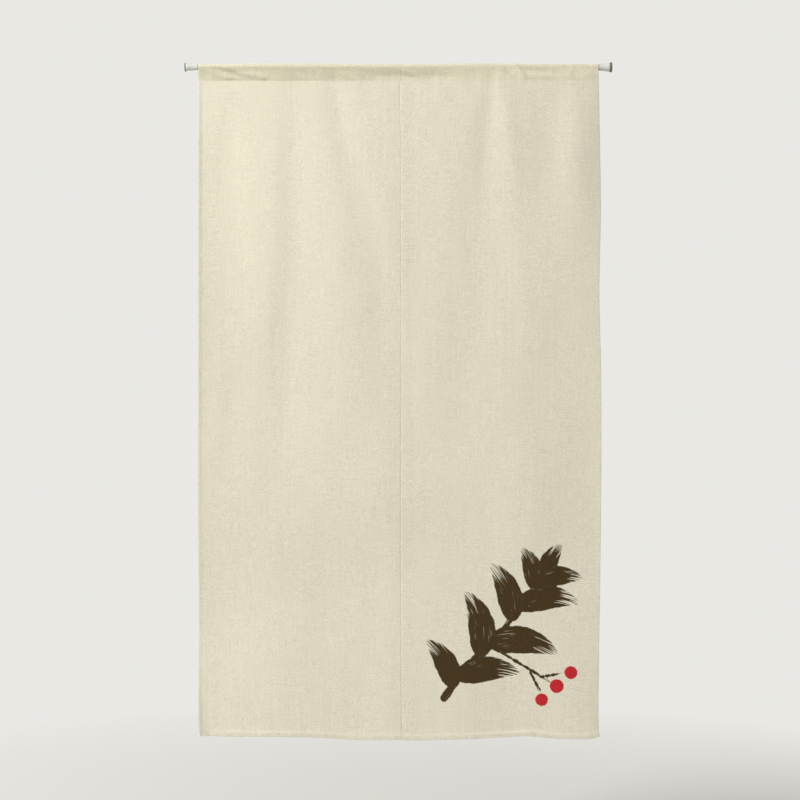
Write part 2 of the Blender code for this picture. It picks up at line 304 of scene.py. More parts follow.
# Creases in the pocket's front: soft ridges or, below nought, troughs, which fade out at both ends
POCKET_CREASES = (
    # x and height of the start, x and height of the end, half width, rise
    (0.0360, -0.0070, 0.0500, -0.0200, 0.0055, -0.0020),
    (0.0720, 0.0010, 0.1100, -0.0060, 0.0044, 0.0016),
    (0.0680, -0.0060, 0.1140, -0.0180, 0.0044, -0.0019),
    (0.0680, -0.0155, 0.1130, -0.0295, 0.0046, 0.0019),
    (0.1200, -0.0140, 0.1460, -0.0190, 0.0050, 0.0020),
    (0.1420, -0.0060, 0.1640, -0.0100, 0.0050, -0.0014),
    (0.1480, -0.0130, 0.1720, -0.0270, 0.0050, 0.0020),
    (0.2300, -0.0080, 0.2700, -0.0170, 0.0070, -0.0010),
    (0.3300, -0.0060, 0.3450, -0.0200, 0.0060, 0.0010),
    (0.4050, -0.0170, 0.4560, -0.0200, 0.0064, -0.0018),
    (0.4540, -0.0040, 0.4960, -0.0190, 0.0054, 0.0020),
    (0.4540, -0.0150, 0.4900, -0.0230, 0.0050, -0.0012),
    (0.4950, -0.0185, 0.5800, -0.0205, 0.0060, -0.0016),
    (0.5900, -0.0080, 0.6040, -0.0220, 0.0060, 0.0010),
    (0.6850, -0.0120, 0.7000, -0.0240, 0.0060, -0.0012),
    (0.7020, 0.0030, 0.7210, -0.0210, 0.0056, 0.0028),
    (0.7120, -0.0060, 0.7800, -0.0130, 0.0058, -0.0021),
    (0.7300, -0.0215, 0.7960, -0.0205, 0.0064, 0.0008),
    (0.8200, -0.0060, 0.8120, -0.0220, 0.0060, 0.0010),
)

# Small puckers where the sewing gathers the cloth, in both senses, along each row of stitches. Each has
# its own shares of the gather's rise, half width and spacing.
POCKET_GATHER = {"spacing": 0.015, "half_width": 0.0048, "reach": 0.026, "rise": 0.00034}
HEM_GATHER = {"spacing": 0.011, "half_width": 0.0034, "reach": 0.009, "rise": 0.00020}
PUCKER_RISES = (0.25, 1.0)
PUCKER_WIDTHS = (0.7, 1.5)
PUCKER_SPACINGS = (0.4, 1.7)
PUCKER_SLANT = 0.5
PUCKER_SPREAD = 0.25
PUCKER_START = 0.004
STITCH_DIP = 0.00016
STITCH_DIP_WIDTH = 0.0013

# How far the bottom hem stands out in front of the cloth above it, and between which heights that fades
HEM_STANDS_OUT = (
    # x, how far
    (0.030, 0.0002),
    (0.052, 0.0004),
    (0.080, 0.0014),
    (0.200, 0.0018),
    (0.330, 0.0015),
    (0.450, 0.0018),
    (0.600, 0.0018),
    (0.660, 0.0026),
    (0.710, 0.0036),
    (0.750, 0.0030),
    (0.790, 0.0018),
    (0.880, 0.0014),
)
STANDS_OUT_BELOW, STANDS_OUT_FULL = 0.0132, 0.0080

# At the slit the left panel dips before it goes under the right one, whose edge is rounded
DIP_UNDER = 0.0006
DIP_START = 0.0036
DIP_ONSET = 0.006
EDGE_FALL = 0.0003
EDGE_FALL_START = 0.0018

# The slight unevenness of hung cloth, as a sum of long ripples
RIPPLES = 26
RIPPLE_DEPTH = 0.00034
RIPPLE_SHARES = (0.3, 1.0)
RIPPLE_LENGTHS_ACROSS = (0.045, 0.20)
RIPPLE_LENGTHS_DOWN = (0.16, 0.70)

# The printed sprig, low on the right panel
PRINT_X = (0.495, 0.856)
PRINT_Z = (-1.380, -1.010)
PRINT_SHOWS_THROUGH = 0.22
FAR_FROM_PRINT = 0.02
TOUCHES = 44
STEM = (
    # share of the way along, x, height
    (0.00, 0.5500, -1.3400),
    (0.25, 0.6010, -1.2720),
    (0.50, 0.6680, -1.2040),
    (0.75, 0.7250, -1.1280),
    (1.00, 0.7620, -1.0760),
)
STEM_RADII = (0.0078, 0.0038)
STEM_REACH = 0.02
LEAVES = (
    # share along the stem, angle from the stem, length, half width, bend
    (0.10, 66, 0.110, 0.0228, -0.10),
    (0.17, -50, 0.127, 0.0256, 0.10),
    (0.35, 60, 0.134, 0.0268, -0.13),
    (0.43, -54, 0.144, 0.0279, 0.12),
    (0.61, 58, 0.124, 0.0250, -0.11),
    (0.69, -52, 0.124, 0.0250, 0.13),
    (0.86, 54, 0.086, 0.0198, -0.10),
    (0.91, -50, 0.094, 0.0200, 0.10),
    (1.00, 4, 0.072, 0.0172, 0.06),
)
LEAF_START = 0.06
LEAF_FULLNESS = 0.66
LEAF_ROUNDNESS = 0.75
LEAF_TIP = 0.0012
BRUSH_SHAKE = 0.0016
BRUSH_SHAKES = (23.0, 41.0, 67.0)
TWIGS = (
    # x and height of the start, x and height of the end, radius
    (0.6450, -1.2270, 0.7760, -1.3060, 0.0030),
    (0.7340, -1.2860, 0.7560, -1.3290, 0.0024),
    (0.7550, -1.2960, 0.8000, -1.2880, 0.0024),
)
BERRIES = (
    # x, height, radius
    (0.7900, -1.3150, 0.0148),
    (0.7580, -1.3440, 0.0135),
    (0.8200, -1.2860, 0.0138),
)

# How finely the cloth is cut into faces. The cuts are distances from an edge.
HEM_CUTS = (0.0, 0.0003, 0.0009, 0.0022, 0.0045)
SLIT_CUTS = (0.0, 0.0003, 0.0009, 0.0015, 0.0021, 0.0028, 0.0036)
BY_FOLD = 0.0004
SIDE_CUTS = (0.0066, SIDE_STITCH, SIDE_HEM - BY_FOLD, SIDE_HEM, SIDE_HEM + BY_FOLD, SIDE_HEM + 0.0015)
BOTTOM_CUTS = (
    0.0066,
    0.0077,
    BOTTOM_STITCH,
    BOTTOM_HEM - BY_FOLD,
    BOTTOM_HEM,
    BOTTOM_HEM + BY_FOLD,
    0.0116,
    STANDS_OUT_BELOW,
)
SAME_PLACE = 0.0001
EDGE_THINNING = 0.70
EDGE_ROUND = 0.0009
COLUMN_STEP = 0.0031
ROW_STEP = 0.0085
PRINT_ROW_STEP = 0.0030
HEADING_ROWS_FROM = -0.095
HEADING_ROW_STEP = 0.0040
ROD_ARC_STEPS = 14
POCKET_SIDE_STEPS = 12

# Thread
STITCH_PITCH = 0.0030
STITCH_LENGTH = 0.0021
THREAD_RADIUS = 0.00017
THREAD_SIDES = 6
STITCH_PROFILE = (
    # share of the stitch's length, share of the thread's radius, rise in radii
    (0.00, 0.30, -0.6),
    (0.22, 0.90, 0.2),
    (0.50, 1.00, 0.5),
    (0.78, 0.90, 0.2),
    (1.00, 0.30, -0.6),
)

# Finishes. Grain scales are grains a metre along x, y and z, and tints and heights are shares of full.
CLOTH_RGB = (0.690, 0.650, 0.530)
# Painted shade: the pocket's layers get this warmer, slightly darker colour, which stands in for light
# bounced between them
DOUBLED_PAINTED_SHADE_RGB = (0.686, 0.645, 0.488)
INK_RGB = (0.051, 0.027, 0.0030)
RED_RGB = (0.500, 0.0140, 0.0200)
THREAD_RGB = (0.80, 0.755, 0.60)
GRAIN_SCALES = (330.0, 330.0, 420.0)
WEFT_SLUB_SCALES = (24.0, 24.0, 620.0)
WARP_SLUB_SCALES = (620.0, 24.0, 24.0)
STREAK_SCALES = (130.0, 20.0, 2.5)
HARD_CLOUD_SCALES = (70.0, 70.0, 70.0)
THREAD_TWIST_SCALES = (1800.0, 1800.0, 1800.0)
THREAD_TINT = 0.3
THREAD_ROUGHNESS = 0.8
THREAD_SHEEN = 0.2
GRAIN_TINT = 0.45
SLUB_TINT = 0.20
STREAK_TINT = 0.07
INK_TINT = 0.35
BLEED_SCALES = (420.0, 420.0, 420.0)
PRINT_BLEED = 0.0030
PRINT_SOFT_EDGE = 0.0005
HAIR_SCALES = (520.0, 16.0, 1.0)
HAIR_CONTRAST = (0.67, 0.73)
DRY_FROM = 0.50
DRY_SPREAD = 0.27
CLOTH_ROUGHNESS = 0.92
INK_SMOOTHNESS = 0.12
CLOTH_SPECULAR = 0.25
CLOTH_SHEEN = 0.12
CLOTH_SHEEN_ROUGHNESS = 0.5
CLOTH_SUBSURFACE = 0.35
CLOTH_LIGHT_REACH = (0.0011, 0.0011, 0.0011)
THREAD_PITCH = 0.0006
THREAD_UNEVENNESS = 1.5
THREAD_WANDER_SCALE = 0.02
WAVE_NODE_PERIODS = 20
BUMP_UNIT = 0.001
WEAVE_HEIGHT = 0.05
SLUB_HEIGHT = 0.10
GRAIN_HEIGHT = 0.10
HARD_FINISHES = {
    # colour, roughness, grains a metre along each axis, tint, rise of the grain
    "painted_steel": ((0.78, 0.77, 0.73), 0.38, (90.0, 1500.0, 1500.0), 0.05, 0.00002),
    "moulded_plastic": ((0.64, 0.66, 0.60), 0.42, (1100.0, 1100.0, 1100.0), 0.06, 0.00002),
    "moulded_rubber": ((0.17, 0.165, 0.12), 0.82, (1500.0, 1500.0, 1500.0), 0.22, 0.00006),
}
HARD_GRAIN_DETAIL = 4.0
GLOSS_CLOUDS = 0.4
GLOSS_GRAIN = 0.2


def smooth(share):
    """0 to 1 with level ends, for shares that may lie outside 0 to 1."""
    held = np.clip(share, 0.0, 1.0)
    return held * held * (3 - 2 * held)


def bell(distance, half_width):
    return np.exp(-((distance / half_width) ** 2))


def curve_at(rows, place):
    """The values at the given places on a smooth curve through rows of (place, value)."""
    places, values = np.array(sorted(rows)).T
    place = np.clip(np.asarray(place, float), places[0], places[-1])
    slopes = np.gradient(values, places)
    i = np.clip(np.searchsorted(places, place, side="right") - 1, 0, len(places) - 2)
    step = places[i + 1] - places[i]
    t = (place - places[i]) / step
    rise = values[i + 1] - values[i]
    start_bend = slopes[i] * step - rise
    end_bend = rise - slopes[i + 1] * step
    return values[i] + t * rise + t * (1 - t) * ((1 - t) * start_bend + t * end_bend)


def fold_swell(x, z):
    """How far the folds bring the cloth forwards."""
    total = np.zeros_like(x)
    below_stitch = smooth((STITCH_HEIGHT - z) / FOLD_RISE)
    rise = FOLD_SHARE_AT_STITCH + (1 - FOLD_SHARE_AT_STITCH) * below_stitch
    down = np.clip((HEAD_HEIGHT - z) / (HEAD_HEIGHT - LOW_HEIGHT), 0.0, 1.0)
    for x_head, x_waist, x_low, wide_head, wide_low, swell, z_end in FOLDS:
        line = ((HEAD_HEIGHT, x_head), (WAIST_HEIGHT, x_waist), (LOW_HEIGHT, x_low))
        half_width = wide_head + (wide_low - wide_head) * down
        fade = 1 - smooth((HEAD_HEIGHT - z) / (HEAD_HEIGHT - z_end))
        total += swell * rise * fade * bell(x - curve_at(line, z), half_width)
    for x_mid, z_mid, half_width, half_height, swell in SWELLS:
        total += swell * bell(x - x_mid, half_width) * bell(z - z_mid, half_height)
    return total + curve_at(STITCH_FORWARD, x) * smooth(1 - (STITCH_HEIGHT - z) / STITCH_FORWARD_REACH)


def ripples(x, z, rng):
    """Long, low ripples that keep the cloth from being too even."""
    total = np.zeros_like(x)
    for _ in range(RIPPLES):
        across = 2 * pi / rng.uniform(*RIPPLE_LENGTHS_ACROSS) * rng.choice((-1, 1))
        down = 2 * pi / rng.uniform(*RIPPLE_LENGTHS_DOWN)
        total += rng.uniform(*RIPPLE_SHARES) * np.sin(across * x + down * z + rng.uniform(0, 2 * pi))
    return total * RIPPLE_DEPTH / np.sqrt(RIPPLES)


def puckers(length, gather, rng):
    """Uneven places along a row of stitches where the cloth gathers: place, rise, slant, half width."""
    rows = []
    place = rng.uniform(0, gather["spacing"])
    while place < length:
        rise = gather["rise"] * rng.uniform(*PUCKER_RISES) * rng.choice((-1, 1))
        half_width = gather["half_width"] * rng.uniform(*PUCKER_WIDTHS)
        rows.append((place, rise, rng.uniform(-PUCKER_SLANT, PUCKER_SLANT), half_width))
        place += gather["spacing"] * rng.uniform(*PUCKER_SPACINGS)
    return rows


def pucker_relief(rows, along, away, gather):
    """How far puckers bring the cloth forwards, from places along the stitches and distances to them."""
    distance = np.abs(away)
    total = np.zeros(np.broadcast(along, away).shape)
    for place, rise, slant, half_width in rows:
        total += rise * bell(along - place - slant * distance, half_width + PUCKER_SPREAD * distance)
    return total * np.exp(-distance / gather["reach"])


def pocket_creases(x, z):
    """How far the creases of the pocket's front stand out."""
    total = np.zeros_like(x)
    for x_start, z_start, x_end, z_end, half_width, rise in POCKET_CREASES:
        length = np.hypot(x_end - x_start, z_end - z_start)
        way_x, way_z = (x_end - x_start) / length, (z_end - z_start) / length
        along = (x - x_start) * way_x + (z - z_start) * way_z
        beside = (x - x_start) * way_z - (z - z_start) * way_x
        total += rise * bell(beside, half_width) * bell(along - length / 2, length / 2 + half_width)
    return total


def pocket_side(stitch_y, rod_y, rod_z, slants):
    """y and z from the stitch up to where the cloth leaves the rod, from the slants at both ends."""
    stitch_slant, rod_slant = slants
    up = np.arange(POCKET_SIDE_STEPS) / POCKET_SIDE_STEPS
    drop = rod_z - STITCH_HEIGHT
    bend = drop * up * (1 - up) * (stitch_slant * (1 - up) - rod_slant * up)
    return stitch_y + up**2 * (3 - 2 * up) * (rod_y - stitch_y) - bend, STITCH_HEIGHT + up * drop


def graded(start, end, coarse, zones):
    """Places from start to end, a coarse step apart, or a zone's own step inside the zone."""
    places = [start]
    while places[-1] < end:
        step = coarse
        for low, high, fine in zones:
            if low - coarse < places[-1] < high:
                step = fine
        places.append(places[-1] + step)
    places = np.array(places)
    return start + (places - start) * (end - start) / (places[-1] - start)


class Panel:
    """One cloth panel: the lines between which it hangs, and the surfaces of its sheet and its pocket."""

    def __init__(self, name, outer_line, outer_curl, slit_line, slit_way):
        self.name = name
        self.outer_line = outer_line
        self.outer_curl = outer_curl
        self.slit_line = slit_line
        self.slit_way = slit_way
        self.rng = np.random.default_rng(SEED + slit_way)
        self.width = abs(float(curve_at(slit_line, 0) - curve_at(outer_line, 0)))
        self.from_outer = self.distances_across()[:, None]
        self.from_slit = self.width - self.from_outer
        self.hem_height = curve_at(HEM_LINE, self.x_at(LOW_EDGE_HEIGHT))
        self.gathers = puckers(self.width, POCKET_GATHER, self.rng)
        self.shape_sheet()
        self.shape_pocket()

    def x_at(self, z):
        """x of each column. Below the heading, the edge at the slit laps past the other panel."""
        share = self.from_outer / self.width
        shift = (self.slit_way * SLIT_LAP + LAP_SHIFT) * smooth((LAP_START - z) / (LAP_START - LAP_FULL))
        return curve_at(self.outer_line, z) * (1 - share) + (curve_at(self.slit_line, z) + shift) * share

    def depth(self, z):
        """y of the cloth's middle below the stitches, as in the solids."""
        x = self.x_at(z)
        hangs_free = smooth((STITCH_HEIGHT - z) / FOLD_RISE)
        stepped = smooth((STITCH_HEIGHT - z) / (STITCH_HEIGHT - LAP_START))
        near_hem = smooth(1 - (z - curve_at(HEM_LINE, x)) / HEM_WAVE_REACH)
        in_curl = np.maximum(1 - self.from_outer / EDGE_CURL_WIDTH, 0)
        curl = curve_at(self.outer_curl, z) * in_curl**2 * hangs_free
        step = self.slit_way * SLIT_STEP * smooth(1 - self.from_slit / SLIT_STEP_WIDTH) * stepped
        return -fold_swell(x, z) - curve_at(HEM_WAVES, x) * near_hem - curl + step

    def distances_across(self):
        """Distances of the columns from the outer edge. They are close together at the hem and the slit."""
        hem, slit = np.array([*HEM_CUTS, *SIDE_CUTS]), np.array(SLIT_CUTS)
        inner = graded(hem[-1], self.width - slit[-1], COLUMN_STEP, ())
        return np.concatenate([hem, inner[1:-1], self.width - slit[::-1]])

    def row_heights(self):
        """Heights of the rows of each column, from its hem up to the stitches."""
        hem = np.array([*HEM_CUTS, *BOTTOM_CUTS])
        low = LOW_EDGE_HEIGHT + hem[-1] + HEM_CUTS[-1]
        high = STITCH_HEIGHT - 2 * FLAP_BELOW_STITCH
        zones = [(HEADING_ROWS_FROM, high, HEADING_ROW_STEP)]
        if self.outer_line is RIGHT_EDGE:
            zones.append((*PRINT_Z, PRINT_ROW_STEP))
        body = graded(low, high, ROW_STEP, zones)
        share_up = ((body - low) / (high - low))[None, :]
        start = self.hem_height + hem[-1] + HEM_CUTS[-1]
        middle = start + (high - start) * share_up
        top = STITCH_HEIGHT - FLAP_BELOW_STITCH * np.array([1.0, 0.5, 0.0])
        return np.hstack([self.hem_height + hem, middle, np.tile(top, (len(self.hem_height), 1))])

    def sewn_relief(self, z):
        """How far gathers and the pull of the thread bring the front of the sheet forwards."""
        from_hem = z - self.hem_height
        total = pucker_relief(self.gathers, self.from_outer, z - STITCH_HEIGHT, POCKET_GATHER)
        rows = puckers(self.width, HEM_GATHER, self.rng)
        total += pucker_relief(rows, self.from_outer, from_hem - BOTTOM_STITCH, HEM_GATHER)
        rows = puckers(STITCH_HEIGHT - LOW_EDGE_HEIGHT, HEM_GATHER, self.rng)
        total += pucker_relief(rows, STITCH_HEIGHT - z, self.from_outer - SIDE_STITCH, HEM_GATHER)
        total -= STITCH_DIP * bell(from_hem - BOTTOM_STITCH, STITCH_DIP_WIDTH)
        total -= STITCH_DIP * bell(self.from_outer - SIDE_STITCH, STITCH_DIP_WIDTH)
        step = smooth((STANDS_OUT_BELOW - from_hem) / (STANDS_OUT_BELOW - STANDS_OUT_FULL))
        total += curve_at(HEM_STANDS_OUT, self.x_at(z)) * step
        fall, start = (DIP_UNDER, DIP_START) if self.slit_way > 0 else (EDGE_FALL, EDGE_FALL_START)
        total -= fall * smooth(1 - self.from_slit / start) * smooth((STITCH_HEIGHT - z) / DIP_ONSET)
        return total

    def shape_sheet(self):
        """The sheet below the stitches as the points of its front and back, columns by rows."""
        z = self.row_heights()
        x = self.x_at(z)
        front = self.depth(z) - SOLID_HALF_THICKNESS - self.sewn_relief(z) - ripples(x, z, self.rng)
        from_hem = z - self.hem_height
        in_hem = (self.from_outer < SIDE_HEM + SAME_PLACE) | (from_hem < BOTTOM_HEM + SAME_PLACE)
        thick = np.where(in_hem, HEM_THICKNESS, CLOTH_THICKNESS)
        from_edge = np.minimum(np.minimum(self.from_outer, self.from_slit), from_hem)
        rounding = EDGE_THINNING * (1 - np.sqrt(smooth(from_edge / EDGE_ROUND)))
        self.front = np.stack([x, front + thick * rounding / 2, z], axis=-1)
        self.back = np.stack([x, front + thick * (1 - rounding / 2), z], axis=-1)

    def shape_pocket(self):
        """The pocket's outside, from the front stitches over the rod to the back ones, and its channel."""
        top_x = self.x_at(0.0)
        stitch_front = self.front[:, -1:, 1]
        stitch_back = stitch_front + 2 * CLOTH_THICKNESS
        front_slants = curve_at(SLANT_AT_STITCHES, top_x), curve_at(SLANT_AT_ROD, top_x)
        back_slant = (POCKET_DEPTH_RADIUS - stitch_back) / -STITCH_HEIGHT
        back_slants = back_slant, back_slant + BACK_HOLLOW
        start, end = -np.arctan(front_slants[1]), pi + np.arctan(back_slants[1])
        turns = start + (end - start) * np.linspace(0, 1, ROD_ARC_STEPS + 1)
        rod_y = -POCKET_DEPTH_RADIUS * np.cos(turns)
        lift = curve_at(TOP_LIFT, top_x) * (turns > 0) * (turns < pi)
        rod_z = (POCKET_TOP_RADIUS + lift) * np.sin(turns)
        front_y, front_z = pocket_side(stitch_front, rod_y[:, :1], rod_z[:, :1], front_slants)
        back_y, back_z = pocket_side(-stitch_back, -rod_y[:, -1:], rod_z[:, -1:], back_slants)
        y = np.hstack([front_y, rod_y, -back_y[:, ::-1]])
        z = np.hstack([front_z, rod_z, back_z[:, ::-1]])
        skew = SEAM_SKEW * smooth(1 - self.from_slit / SEAM_SKEW_WIDTH)
        x = self.x_at(z) + skew * smooth(y / POCKET_DEPTH_RADIUS + 0.5)
        along_y, along_z = np.gradient(y, axis=1), np.gradient(z, axis=1)
        along_y[:, [0, -1]] = 0
        length = np.hypot(along_y, along_z)
        out_y, out_z = -along_z / length, along_y / length
        relief = pocket_creases(x, z) * (y < 0)
        relief += pucker_relief(self.gathers, self.from_outer, z - STITCH_HEIGHT, POCKET_GATHER)
        relief *= smooth((z - STITCH_HEIGHT) / PUCKER_START)
        spare = np.hypot(y, z) - CLOTH_THICKNESS - ROD_RADIUS - CLEAR_OF_ROD
        relief = np.maximum(relief, -spare)
        y, z = y + out_y * relief, z + out_z * relief
        self.pocket = np.stack([x, y, z], axis=-1)
        self.pocket_out = np.stack([np.zeros_like(x), out_y, out_z], axis=-1)
        self.channel = (self.pocket - self.pocket_out * CLOTH_THICKNESS)[:, :-1]

    def rings(self):
        """Each column's points round the outside of the panel: front, pocket, flap and back."""
        flap = self.front[:, -3:-1].copy()
        flap[..., 1] = self.pocket[:, -1:, 1]
        parts = (self.front[:, :-1], self.pocket, flap[:, ::-1], self.back[:, -3::-1])
        return np.concatenate(parts, axis=1)

    def stitch_lines(self):
        """The lines that are sewn, each with the way out of the cloth at its points."""
        forwards, backwards = np.array((0.0, -1.0, 0.0)), np.array((0.0, 1.0, 0.0))
        lines = [(self.front[:, -1], forwards), (self.pocket[:, -1], backwards)]
        bottom_row = len(HEM_CUTS) + BOTTOM_CUTS.index(BOTTOM_STITCH)
        side_column = len(HEM_CUTS) + SIDE_CUTS.index(SIDE_STITCH)
        lines += [(self.front[:, bottom_row], forwards), (self.back[:, bottom_row], backwards)]
        lines.append((self.front[side_column], forwards))
        lines.append((self.pocket[side_column], self.pocket_out[side_column]))
        lines.append((self.back[side_column], backwards))
        return [(line, np.broadcast_to(out, line.shape)) for line, out in lines]


def ring_faces(first, columns, count):
    """Quads between the closed rings of count points of neighbouring columns."""
    column = first + np.arange(columns - 1)[:, None] * count
    i = np.arange(count)[None, :]
    j = (i + 1) % count
    corners = (column + i, column + j, column + count + j, column + count + i)
    return np.stack(corners, axis=-1).reshape(-1, 4).tolist()


def end_faces(rim, inside, front_rows):
    """The faces that close a panel's side edge: the sheet's thickness, the flap's end and the pocket's."""
    faces = []
    sheet = front_rows - 2
    for i in range(sheet):
        faces.append((rim[i], rim[i + 1], rim[-i - 2], rim[-i - 1]))
    back_stitch = front_rows + len(inside)
    tuck = len(rim) - 1 - sheet
    faces.append((rim[sheet], rim[sheet + 1], rim[back_stitch + 1], rim[back_stitch + 2], rim[tuck]))
    faces.append((rim[sheet + 1], rim[front_rows], inside[0], rim[back_stitch], rim[back_stitch + 1]))
    for i in range(len(inside)):
        j = (i + 1) % len(inside)
        faces.append((rim[front_rows + i], rim[front_rows + i + 1], inside[j], inside[i]))
    return faces


def add_piece(name, points, faces, material):
    """A smooth mesh piece of the object, which rides on its body."""
    mesh = bpy.data.meshes.new(name)
    mesh.from_pydata(np.asarray(points).tolist(), [], faces)
    bm = bmesh.new()
    bm.from_mesh(mesh)
    bmesh.ops.recalc_face_normals(bm, faces=bm.faces)
    bm.to_mesh(mesh)
    bm.free()
    mesh.shade_smooth()
    mesh.materials.append(material)
    piece = bpy.data.objects.new(name, mesh)
    bpy.context.scene.collection.objects.link(piece)
    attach(piece, BODY)
    return piece


def make_cloth(panel, material):
    """A panel as one closed thin sheet: its front, its hems, its pocket round the rod and its back."""
    outside = panel.rings()
    columns, ring, hole = outside.shape[0], outside.shape[1], panel.channel.shape[1]
    front_rows = panel.front.shape[1] - 1
    points = np.concatenate([outside.reshape(-1, 3), panel.channel.reshape(-1, 3)])
    faces = ring_faces(0, columns, ring) + ring_faces(columns * ring, columns, hole)
    for column in (0, columns - 1):
        rim = [column * ring + i for i in range(ring)]
        inside = [columns * ring + column * hole + i for i in range(hole)]
        faces += end_faces(rim, inside, front_rows)
    piece = add_piece(panel.name, points, faces, material)
    place_in_ring = np.arange(columns * ring) % ring
    strength = np.full(len(points), PRINT_SHOWS_THROUGH)
    strength[: columns * ring][place_in_ring < front_rows] = 1.0
    keys = ("ink", "red", "dry", "across", "along")
    # Painted shade: the pocket, its flap and its channel are marked for the warmer, darker colour of light
    # bounced between the layers
    doubled_painted_shade = np.ones(len(points))
    doubled_painted_shade[: columns * ring][(place_in_ring < front_rows) | (place_in_ring >= ring - front_rows)] = 0.0
    shares = (("printed", strength), ("doubled_painted_shade", doubled_painted_shade))
    for key, values in (*shares, *zip(keys, print_distances(points[:, 0], points[:, 2]))):
        attribute = piece.data.attributes.new(key, "FLOAT", "POINT")
        attribute.data.foreach_set("value", values.astype(np.float32))
    return piece


def stitch_ends(line, out):
    """The start and end of each stitch along a line of points, and the way out of the cloth there."""
    run = np.concatenate([[0.0], np.cumsum(np.linalg.norm(np.diff(line, axis=0), axis=1))])
    starts = np.arange(STITCH_PITCH / 2, run[-1] - STITCH_PITCH, STITCH_PITCH)

    def at(places, values):
        return np.stack([np.interp(places, run, values[:, i]) for i in range(3)], axis=-1)

    return at(starts, line), at(starts + STITCH_LENGTH, line), at(starts, out)


def make_stitches(name, lines, material):
    """All the stitches of a panel: small bent capsules of thread, whose ends sink into the cloth."""
    starts, ends, ups = (np.concatenate(part) for part in zip(*(stitch_ends(*line) for line in lines)))
    along = (ends - starts) / np.linalg.norm(ends - starts, axis=1)[:, None]
    side = np.cross(along, ups)
    angles = 2 * pi * np.arange(THREAD_SIDES) / THREAD_SIDES
    rings = []
    for share, radius, rise in STITCH_PROFILE:
        middle = starts + (ends - starts) * share + ups * rise * THREAD_RADIUS
        around = side[:, None] * np.cos(angles)[:, None] + ups[:, None] * np.sin(angles)[:, None]
        rings.append(middle[:, None] + around * radius * THREAD_RADIUS)
    points = np.concatenate(rings, axis=1)
    count = points.shape[1]
    faces = []
    for stitch in range(len(points)):
        first = stitch * count
        faces.append([first + i for i in range(THREAD_SIDES)])
        faces.append([first + count - 1 - i for i in range(THREAD_SIDES)])
        for ring in range(len(STITCH_PROFILE) - 1):
            for i in range(THREAD_SIDES):
                a, b = first + ring * THREAD_SIDES + i, first + ring * THREAD_SIDES + (i + 1) % THREAD_SIDES
                faces.append((a, b, b + THREAD_SIDES, a + THREAD_SIDES))
    return add_piece(name, points.reshape(-1, 3), faces, material)


def stem_at(share):
    """A point of the stem, or points, as x and height."""
    return np.stack([curve_at([(row[0], row[i]) for row in STEM], share) for i in (1, 2)], axis=-1)


def leaf_touches(share, angle, length, half_width, bend):
    """The round touches of a brush that make one leaf: full near its start, and thin at its tip."""
    ahead = stem_at(min(share + STEM_REACH, 1.0)) - stem_at(max(share - STEM_REACH, 0.0))
    ahead /= np.hypot(*ahead)
    turn = np.radians(angle)
    spin = np.array(((np.cos(turn), -np.sin(turn)), (np.sin(turn), np.cos(turn))))
    way = spin @ ahead
    side = np.array((-way[1], way[0]))
    along = np.linspace(LEAF_START, 1.0, TOUCHES)[:, None]
    points = stem_at(share) + way * length * along + side * length * bend * 4 * along * (1 - along)
    radii = half_width * np.sin(pi * along[:, 0] ** LEAF_FULLNESS) ** LEAF_ROUNDNESS + LEAF_TIP
    return points, radii


def twig_touches(x_start, z_start, x_end, z_end, radius):
    shares = np.linspace(0, 1, TOUCHES)[:, None]
    points = np.array((x_start, z_start)) * (1 - shares) + np.array((x_end, z_end)) * shares
    return points, np.full(TOUCHES, radius)


def shaken(radii, number):
    """The radii of a stroke's touches, uneven as from a hand with a full brush."""
    along = np.linspace(0, 1, len(radii))
    shake = sum(np.sin(count * along + number * count) for count in BRUSH_SHAKES) / len(BRUSH_SHAKES)
    return radii + BRUSH_SHAKE * shake * np.minimum(radii / radii.max(), 1.0)


def print_distances(x, z):
    """What the print's shading needs at each place of the cloth.

    These are the distances to the brown strokes and to the red berries, below nought inside, then how dry
    the brush is, and how far across and along its stroke the place lies.
    """
    near = np.flatnonzero((x > PRINT_X[0]) & (x < PRINT_X[1]) & (z > PRINT_Z[0]) & (z < PRINT_Z[1]))
    ink, red = np.full_like(x, FAR_FROM_PRINT), np.full_like(x, FAR_FROM_PRINT)
    dry, across, along = np.zeros_like(x), np.zeros_like(x), np.zeros_like(x)
    spot = np.stack([x[near], z[near]], axis=-1)
    nearest, berry = ink[near], red[near]
    shares = np.linspace(0, 1, 2 * TOUCHES)
    strokes = [(stem_at(shares), np.linspace(*STEM_RADII, len(shares)))]
    strokes += [leaf_touches(*leaf) for leaf in LEAVES] + [twig_touches(*twig) for twig in TWIGS]
    for number, (points, radii) in enumerate(strokes):
        ways = np.gradient(points, axis=0)
        ways /= np.linalg.norm(ways, axis=1)[:, None]
        reach = np.linalg.norm(points[-1] - points[0])
        for i, (point, way, radius) in enumerate(zip(points, ways, shaken(radii, number))):
            offset = spot - point
            distance = np.hypot(*offset.T) - radius
            closer = distance < nearest
            nearest[closer] = distance[closer]
            run = i / len(points) * reach + offset[closer] @ way
            dry[near[closer]] = np.clip(run / reach, 0, 1)
            along[near[closer]] = run
            across[near[closer]] = number + offset[closer] @ (-way[1], way[0])
    for x_berry, z_berry, radius in BERRIES:
        berry = np.minimum(berry, np.hypot(*(spot - (x_berry, z_berry)).T) - radius)
    ink[near], red[near] = nearest, berry
    return ink, red, dry, across, along


